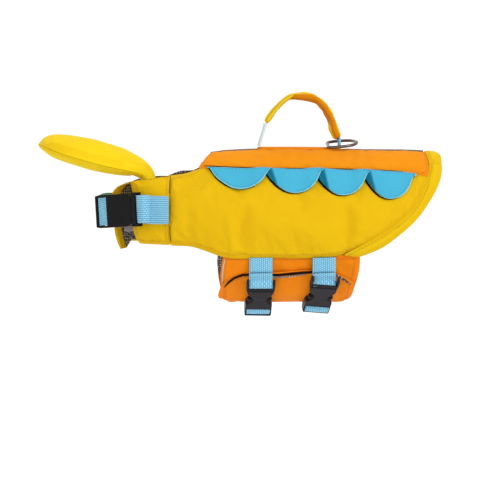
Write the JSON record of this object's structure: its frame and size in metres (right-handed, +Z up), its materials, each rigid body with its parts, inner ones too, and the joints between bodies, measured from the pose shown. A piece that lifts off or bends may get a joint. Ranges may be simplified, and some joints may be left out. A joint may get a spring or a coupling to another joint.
{
  "type": "dog life jacket",
  "caption": "Dog life jacket with padded back and sides, scalloped trim, lifting handle, chin float, and buckled neck and belly straps.",
  "frame": {"origin": "where the wearer's back holds the jacket up: the inner face of the back panel, on the spine under the handle", "axes": "+X from the head to the tail, +Z up, -Y toward the wearer's left side, where the buckles are"},
  "size_m": [0.4329, 0.1362, 0.2419],
  "materials": {
    "yellow_cloth": "plain woven polyester",
    "orange_cloth": "plain woven polyester",
    "blue_cloth": "plain woven polyester",
    "blue_webbing": "ribbed nylon webbing",
    "dark_mesh": "open air mesh",
    "grey_tab": "smooth brushed",
    "black_buckle": "moulded satin",
    "grey_buckle": "moulded satin",
    "steel_ring": "polished wire"
  },
  "bodies": {
    "jacket": {"back_panel_left": "orange_cloth", "back_panel_right": "orange_cloth", "side_panel_left": "yellow_cloth", "side_panel_right": "yellow_cloth", "body_lining_left": "dark_mesh", "body_lining_right": "dark_mesh", "spine_strip_front": "dark_mesh", "handle_saddle": "orange_cloth", "spine_strip_rear": "dark_mesh", "tail_border_left": "yellow_cloth", "tail_border_right": "yellow_cloth", "tail_border_top": "yellow_cloth", "scallop_left_1": "blue_cloth", "scallop_right_1": "blue_cloth", "scallop_left_2": "blue_cloth", "scallop_right_2": "blue_cloth", "scallop_left_3": "blue_cloth", "scallop_right_3": "blue_cloth", "scallop_left_4": "blue_cloth", "scallop_right_4": "blue_cloth", "neck_panel_left": "yellow_cloth", "neck_lining_left": "dark_mesh", "neck_panel_right": "yellow_cloth", "neck_lining_right": "dark_mesh", "neck_tab": "grey_tab", "chin_float_top": "yellow_cloth", "chin_float_base": "yellow_cloth", "belly_flap_under": "orange_cloth", "belly_flap_over": "orange_cloth", "belly_lining": "dark_mesh", "belly_front_buckle_male": "grey_buckle", "belly_front_buckle_female": "grey_buckle", "belly_strap_front_left": "blue_webbing", "belly_strap_front_right": "blue_webbing", "belly_rear_buckle_male": "grey_buckle", "belly_rear_buckle_female": "grey_buckle", "belly_strap_rear_left": "blue_webbing", "belly_strap_rear_right": "blue_webbing", "neck_buckle_male": "black_buckle", "neck_buckle_female": "black_buckle", "neck_strap_left": "blue_webbing", "neck_strap_right": "blue_webbing", "handle_leg_front": "blue_webbing", "handle_grip": "yellow_cloth", "handle_leg_rear": "blue_webbing"},
    "leash_ring": {"leash_ring": "steel_ring"}
  },
  "joints": [
    {"name": "leash_ring_lift", "type": "hinge", "parent": "jacket", "child": "leash_ring", "pos_m": [0.029, 0, 0.0096], "axis": [0, -1, 0], "range_deg": [0, 45]}
  ]
}
